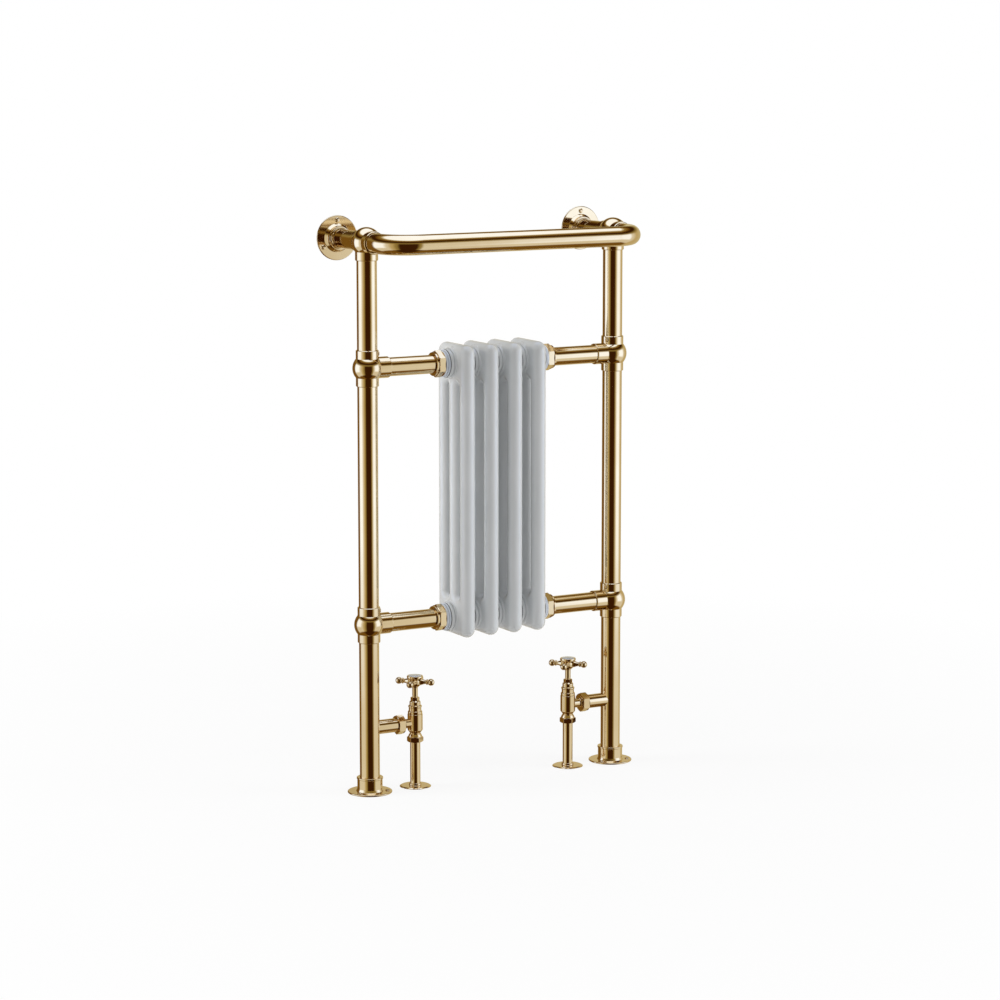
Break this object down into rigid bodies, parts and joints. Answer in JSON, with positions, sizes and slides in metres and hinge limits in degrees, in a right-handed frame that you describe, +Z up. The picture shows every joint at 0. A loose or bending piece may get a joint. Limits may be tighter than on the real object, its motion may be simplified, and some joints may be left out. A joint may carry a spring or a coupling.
{
  "type": "heated towel stand",
  "caption": "Floor-standing traditional heated towel rail with ball-jointed tubes, a column radiator between the uprights, a bent top rail, wall stays and cross-head valves.",
  "frame": {"origin": "on the floor, midway between the uprights and midway between the wall plane and the front of the towel rail", "axes": "+Z up, -Y the front, +Y towards the wall, +X to the right as seen from the front"},
  "size_m": [0.552, 0.224, 0.973],
  "materials": {
    "polished_brass": "polished",
    "plain_brass": "machined",
    "white_enamel": "gloss",
    "bush_enamel": "gloss",
    "steel_nipple": "machined",
    "gasket_rubber": "matte",
    "fibre_washer": "matte",
    "porcelain": "gloss",
    "copper_pipe": "drawn"
  },
  "bodies": {
    "stand": {"left_foot_flange": "polished_brass", "right_foot_flange": "polished_brass", "left_lower_upright": "polished_brass", "right_lower_upright": "polished_brass", "left_middle_upright": "polished_brass", "right_middle_upright": "polished_brass", "left_top_upright": "polished_brass", "right_top_upright": "polished_brass", "left_lower_tee": "polished_brass", "right_lower_tee": "polished_brass", "left_upper_tee": "polished_brass", "right_upper_tee": "polished_brass", "tee_screws": "polished_brass", "left_top_elbow": "polished_brass", "right_top_elbow": "polished_brass", "left_wall_stay": "polished_brass", "right_wall_stay": "polished_brass", "left_wall_flange": "polished_brass", "right_wall_flange": "polished_brass", "towel_rail": "polished_brass", "left_lower_rung": "polished_brass", "right_lower_rung": "polished_brass", "left_upper_rung": "polished_brass", "right_upper_rung": "polished_brass", "radiator_union_nuts": "polished_brass", "radiator_union_washers": "fibre_washer", "radiator_bushes": "bush_enamel", "section_1": "white_enamel", "section_2": "white_enamel", "section_3": "white_enamel", "section_4": "white_enamel", "section_nipples": "steel_nipple", "section_gaskets": "gasket_rubber", "left_valve_tail": "polished_brass", "right_valve_tail": "polished_brass", "valve_union_nuts": "polished_brass", "left_valve_body": "polished_brass", "right_valve_body": "polished_brass", "left_bonnet": "polished_brass", "right_bonnet": "polished_brass", "left_gland_nut": "polished_brass", "right_gland_nut": "polished_brass", "left_gland_packing": "gasket_rubber", "right_gland_packing": "gasket_rubber", "compression_nuts": "polished_brass", "olives": "plain_brass", "left_supply_pipe": "copper_pipe", "right_supply_pipe": "copper_pipe", "left_pipe_sleeve": "polished_brass", "right_pipe_sleeve": "polished_brass", "left_floor_collar": "polished_brass", "right_floor_collar": "polished_brass"},
    "left_valve_jumper": {"left_jumper": "plain_brass"},
    "left_valve_handle": {"left_spindle": "polished_brass", "left_cross_handle": "polished_brass", "left_index": "porcelain"},
    "right_valve_jumper": {"right_jumper": "plain_brass"},
    "right_valve_handle": {"right_spindle": "polished_brass", "right_cross_handle": "polished_brass", "right_index": "porcelain"}
  },
  "joints": [
    {"name": "left_valve_lift", "type": "slide", "parent": "stand", "child": "left_valve_jumper", "axis": [0, 0, 1], "range_m": [0, 0.00525]},
    {"name": "left_valve_turn", "type": "hinge", "parent": "left_valve_jumper", "child": "left_valve_handle", "pos_m": [-0.151, 0, 0.183], "axis": [0, 0, 1], "range_deg": [0, 1260]},
    {"name": "right_valve_lift", "type": "slide", "parent": "stand", "child": "right_valve_jumper", "axis": [0, 0, 1], "range_m": [0, 0.00525]},
    {"name": "right_valve_turn", "type": "hinge", "parent": "right_valve_jumper", "child": "right_valve_handle", "pos_m": [0.151, 0, 0.183], "axis": [0, 0, 1], "range_deg": [0, 1260]}
  ],
  "couplings": [
    {"joint": "left_valve_lift", "follows": "left_valve_turn", "m_per_rad": 0.0002387},
    {"joint": "right_valve_lift", "follows": "right_valve_turn", "m_per_rad": 0.0002387}
  ]
}
